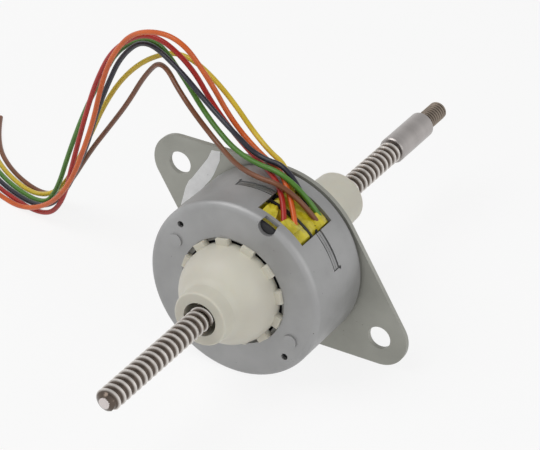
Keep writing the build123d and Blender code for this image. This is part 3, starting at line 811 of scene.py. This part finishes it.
@dataclass(frozen=True)
class TapePad:
    """A creased pad of tape in the lead window, lying on the tape band.

    Its four corners are given along the ears and along the screw, and the grid between them is a
    blend of the corners. The top's distance from the axis is a ridge line with a fall to each side,
    small waves on it, and a rounded fall at the rim.
    """

    name: str
    near_left: tuple[float, float]
    near_right: tuple[float, float]
    far_right: tuple[float, float]
    far_left: tuple[float, float]
    radius: float
    ridge: float
    ridge_place: float
    waves: float
    wave_count: float
    lean: float = 0.0
    base: float = 20.7
    overlap: float = 0.25
    slant: float = 2.6
    ripple_share: float = 0.6
    ripple_ratio: float = 1.7
    ripple_slant: float = -5.0
    ripple_phase: float = 1.3
    rim_rise: tuple[float, float] = (14.0, 9.0)
    sharp_edge: float = 60.0

    def build(self, resolution: tuple[int, int] = (48, 28)) -> bpy.types.Object:
        """Makes the pad as a closed sheet.

        Args:
            resolution: how many points along the ears and along the screw.

        Returns:
            The pad.
        """
        u = np.linspace(0, 1, resolution[0])[:, None]
        v = np.linspace(0, 1, resolution[1])[None, :]
        corner = [np.array(c) for c in (self.near_left, self.near_right, self.far_right, self.far_left)]
        weight = [(1 - u) * (1 - v), u * (1 - v), u * v, (1 - u) * v]
        along = sum(w * c[0] for w, c in zip(weight, corner))
        y = sum(w * c[1] for w, c in zip(weight, corner))
        fall = np.abs(v - self.ridge_place) / max(self.ridge_place, 1 - self.ridge_place)
        crease = self.ridge * (1 - fall)
        turns = 2 * math.pi * self.wave_count
        ripple = np.sin(turns * self.ripple_ratio * u + self.ripple_slant * v + self.ripple_phase)
        wave = self.waves * (np.sin(turns * u + self.slant * v) + self.ripple_share * ripple)
        rise_u, rise_v = self.rim_rise
        rim = np.minimum(np.minimum(u, 1 - u) * rise_u, np.minimum(v, 1 - v) * rise_v)
        height = self.radius - self.base + crease + wave + self.lean * (u - 0.5)
        top = self.base + height * np.sqrt(np.clip(rim, 0, 1))
        bottom = np.full_like(top, self.base - self.overlap)
        return slab(self.name, self._place(along, y, top), self._place(along, y, bottom), self.sharp_edge)

    @staticmethod
    def _place(along: np.ndarray, y: np.ndarray, radius: np.ndarray) -> np.ndarray:
        """Puts millimetre values on the can's round side, as high as the radius less the curve's fall.

        Args:
            along: distances from the axis along the ears.
            y: places along the screw.
            radius: distances from the axis.

        Returns:
            The points in metres.
        """
        height = np.sqrt(np.maximum(radius**2 - along**2, 0))
        return MOTOR.row(along * MM, y * MM, height * MM)


@dataclass(frozen=True)
class TapeBand:
    """The tape round a winding: a thin ring with a slight waviness, closed inside and out."""

    name: str
    node: str
    radius: float = 20.85
    inner: float = 20.55
    ripple: float = 0.03
    ripple_count: int = 9
    ripple_slant: float = 700.0

    def build(self, columns: int = 160, rows: int = 10) -> bpy.types.Object:
        """Makes the ring: a closed loop of rows, out along the outside and back along the inside.

        Args:
            columns: how many steps round the ring.
            rows: how many rows along it, outside and inside alike.

        Returns:
            The ring.
        """
        y_low, y_high = low(self.node).y, high(self.node).y
        outside = np.linspace(y_low, y_high, rows)
        y = np.concatenate((outside, outside[::-1], [y_low]))
        rest = np.concatenate((np.full(rows, self.radius), np.full(rows, self.inner), [self.radius]))
        outer = rest[:, None] > self.inner
        angle = np.linspace(0, 2 * math.pi, columns + 1)[None, :]
        ripple = self.ripple * np.sin(self.ripple_count * angle + self.ripple_slant * y[:, None])
        radius = (rest[:, None] + ripple * outer) * MM
        place = np.broadcast_to(y[:, None], radius.shape)
        grid = np.stack((radius * np.sin(angle), place, radius * np.cos(angle)), axis=-1)
        return mesh_object(self.name, grid, (grid_faces(*grid.shape[:2]),))


@dataclass(frozen=True)
class LeadWindow:
    """The yellow insulating tape that shows in the window where the leads come out."""

    pads: tuple[TapePad, ...] = (
        TapePad("near_tape_pad", (-0.9, -18.7), (6.5, -18.7), (6.5, -13.5), (0.6, -13.6),
                radius=21.8, ridge=0.5, ridge_place=0.6, waves=0.04, wave_count=2.3),
        TapePad("near_tape_flap", (-1.1, -18.9), (3.6, -18.8), (4.0, -14.9), (-0.3, -15.2),
                radius=22.35, ridge=0.35, ridge_place=0.55, waves=0.07, wave_count=1.3),
        TapePad("near_tape_lump", (-6.2, -18.9), (-1.6, -18.7), (-3.6, -13.5), (-6.2, -13.5),
                radius=21.7, ridge=0.6, ridge_place=0.5, waves=0.16, wave_count=1.4),
        TapePad("far_tape_pad", (-6.2, -12.9), (6.5, -12.8), (6.5, -6.0), (-6.2, -6.0),
                radius=21.8, ridge=0.2, ridge_place=0.75, waves=0.07, wave_count=1.6),
        TapePad("far_tape_fold", (3.0, -9.9), (6.6, -10.6), (6.6, -6.1), (2.6, -5.95),
                radius=22.35, ridge=0.4, ridge_place=0.6, waves=0.06, wave_count=1.5, lean=0.15),
    )

    def build(self) -> None:
        """Makes the two bands and the five pads on them."""
        material = YELLOW_TAPE.material()
        for side in ("near", "far"):
            band = TapeBand(f"{side}_tape_band", f"{side}_tape").build()
            self._add(band, material)
            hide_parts(f"{side}_tape")
        for pad in self.pads:
            self._add(pad.build(), material)
        log.info("folded the tape in the window")

    @staticmethod
    def _add(piece: bpy.types.Object, material: bpy.types.Material) -> None:
        """Dresses a piece of tape and lets it ride on the stator.

        Args:
            piece: the band or pad.
            material: the tape's material.
        """
        dress(piece, material)
        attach(piece, STATOR)


@dataclass(frozen=True)
class FlangeMark:
    """The pale, near-white patch on the flange beside the can, a skin a few hundredths of a millimetre thick.

    Its two edges are given in millimetres along the ears and towards the leads, from top to bottom.
    """

    left_edge: tuple[tuple[float, float], ...] = (
        (-27.2, 9.8), (-26.9, 7.0), (-27.5, -1.1), (-27.8, -2.3), (-27.6, -4.7), (-26.1, -10.2))
    right_edge: tuple[tuple[float, float], ...] = (
        (-25.3, 11.2), (-24.1, 8.9), (-23.5, 4.6), (-23.4, 2.6), (-24.0, -2.1), (-26.1, -10.2))
    thickness: float = 0.03 * MM
    rows: int = 40
    columns: int = 12

    def _edge(self, corners: Sequence[tuple[float, float]]) -> np.ndarray:
        """Spreads an edge's corners into equal steps, in straight lines from corner to corner.

        Args:
            corners: the edge's corners, in millimetres.

        Returns:
            One row of two metre values for each step.
        """
        corners = np.array(corners) * MM
        place, steps = np.linspace(0, 1, len(corners)), np.linspace(0, 1, self.rows)
        return np.stack([np.interp(steps, place, corners[:, axis]) for axis in (0, 1)], axis=-1)

    def build(self) -> None:
        """Makes the patch as a straight blend from its left edge to its right edge."""
        left, right = self._edge(self.left_edge), self._edge(self.right_edge)
        across = np.linspace(0, 1, self.columns)[None, :, None]
        flat = left[:, None, :] * (1 - across) + right[:, None, :] * across
        back = MOTOR.flange_back
        top = MOTOR.row(flat[..., 0], back - self.thickness, flat[..., 1])
        bottom = MOTOR.row(flat[..., 0], back, flat[..., 1])
        mark = slab("flange_mark", top, bottom)
        dress(mark, BRIGHT_PATCH.material())
        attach(mark, STATOR)
        log.info("smeared the flange's pale mark")


@dataclass(frozen=True)
class Studio:
    """The camera at the photograph's place, soft lamps and a pale table."""

    camera_place: Point = (0.27617, -0.47704, 0.33800)
    azimuth: float = 30.361
    elevation: float = 31.039
    roll: float = 0.634
    focal_pixels: float = 2693.17
    picture_width: float = 540.0
    sensor: float = 36.0
    overhead_level: float = 0.45
    soft_level: float = 0.5
    lamp_size: float = 0.6
    floor_half: float = 3.0
    floor_shade: float = 0.9
    floor_glow: float = 0.85

    def build(self) -> None:
        """Sets up the camera, the world, the lamps and the floor."""
        self._camera()
        self._world()
        self._lamps()
        self._floor()
        bpy.context.scene.view_settings.view_transform = "Standard"
        log.info("set up the studio")

    def _camera(self) -> None:
        """Places the camera: turned by the azimuth, tipped by the elevation, then rolled on its own axis."""
        data = bpy.data.cameras.new("camera")
        data.sensor_width = self.sensor
        data.lens = self.focal_pixels / self.picture_width * self.sensor
        camera = bpy.data.objects.new("camera", data)
        turn = Matrix.Rotation(math.radians(self.azimuth), 4, "Z")
        tip = Matrix.Rotation(math.radians(90 - self.elevation), 4, "X")
        roll = Matrix.Rotation(math.radians(self.roll), 4, "Z")
        camera.matrix_world = Matrix.Translation(self.camera_place) @ turn @ tip @ roll
        bpy.context.scene.collection.objects.link(camera)
        bpy.context.scene.camera = camera

    def _world(self) -> None:
        """A surround that is white to the camera, dims overhead and lights the rest at half strength."""
        world = bpy.data.worlds.new("surround")
        world.use_nodes = True
        bpy.context.scene.world = world
        tree = Tree(world.node_tree)
        background = world.node_tree.nodes["Background"]
        path = tree.add("LightPath")
        seen = tree.add("Math", {"operation": "MAXIMUM"}, n0=path.outputs["Is Camera Ray"],
                        n1=path.outputs["Is Glossy Ray"])
        seen = tree.add("Math", {"operation": "MAXIMUM"},
                        n0=seen.outputs[0], n1=path.outputs["Is Transmission Ray"])
        ray = tree.add("SeparateXYZ", n0=tree.add("TexCoord").outputs["Generated"])
        zenith = tree.add("MapRange", Value=ray.outputs["Z"], From_Min=0.1, From_Max=0.9,
                          To_Min=1.0, To_Max=self.overhead_level)
        level = tree.add("MapRange", Value=seen.outputs[0], To_Min=self.soft_level, To_Max=1.0)
        soft = tree.add("Math", {"operation": "MULTIPLY"}, n0=zenith.outputs[0], n1=level.outputs[0])
        strength = tree.add("Math", {"operation": "MAXIMUM"},
                            n0=soft.outputs[0], n1=path.outputs["Is Camera Ray"])
        world.node_tree.links.new(strength.outputs[0], background.inputs["Strength"])
        background.inputs["Color"].default_value = (1.0, 1.0, 1.0, 1.0)

    def _lamps(self) -> None:
        """Two large soft lamps, the main one above and left, a weak one on the right."""
        for name, place, power in (
            ("key_lamp", (-0.35, -0.30, 0.75), 3.4),
            ("fill_lamp", (0.75, -0.2, 0.35), 1.6),
        ):
            data = bpy.data.lights.new(name, "AREA")
            data.size = self.lamp_size
            data.energy = power
            lamp = bpy.data.objects.new(name, data)
            lamp.location = place
            lamp.rotation_euler = (-Vector(place)).to_track_quat("-Z", "Y").to_euler()
            bpy.context.scene.collection.objects.link(lamp)

    def _floor(self) -> None:
        """A flat pale table that is nearly white to the camera but keeps a faint shadow."""
        half = self.floor_half
        z = CAD_BOX[0][2]
        mesh = bpy.data.meshes.new("table_top")
        corners = [(-half, -half, z), (half, -half, z), (half, half, z), (-half, half, z)]
        mesh.from_pydata(corners, [], [(0, 1, 2, 3)])
        floor = bpy.data.objects.new("table_top", mesh)
        bpy.context.scene.collection.objects.link(floor)
        material = bpy.data.materials.new("table_top")
        material.use_nodes = True
        tree = Tree(material.node_tree)
        shader = material.node_tree.nodes["Principled BSDF"]
        shader.inputs["Base Color"].default_value = (*(self.floor_shade,) * 3, 1.0)
        shader.inputs["Roughness"].default_value = 0.9
        glow = tree.add("Emission", Color=(1.0, 1.0, 1.0, 1.0), Strength=1.0)
        path = tree.add("LightPath")
        seen = tree.add("Math", {"operation": "MAXIMUM"}, n0=path.outputs["Is Camera Ray"],
                        n1=path.outputs["Is Glossy Ray"])
        share = tree.add("Math", {"operation": "MULTIPLY"}, n0=seen.outputs[0], n1=self.floor_glow)
        mix = tree.add("MixShader", n0=share.outputs[0], n1=shader.outputs[0], n2=glow.outputs[0])
        out = material.node_tree.nodes["Material Output"]
        material.node_tree.links.new(mix.outputs[0], out.inputs["Surface"])
        dress(floor, material)


def main() -> None:
    """Builds every sub-assembly in order."""
    logging.basicConfig(level=logging.INFO, format="%(message)s")
    Studio().build()
    Leads().build()
    CadSkin().dress()
    TravellingScrew().build()
    LeadWindow().build()
    FlangeMark().build()


if __name__ == "__main__":
    main()
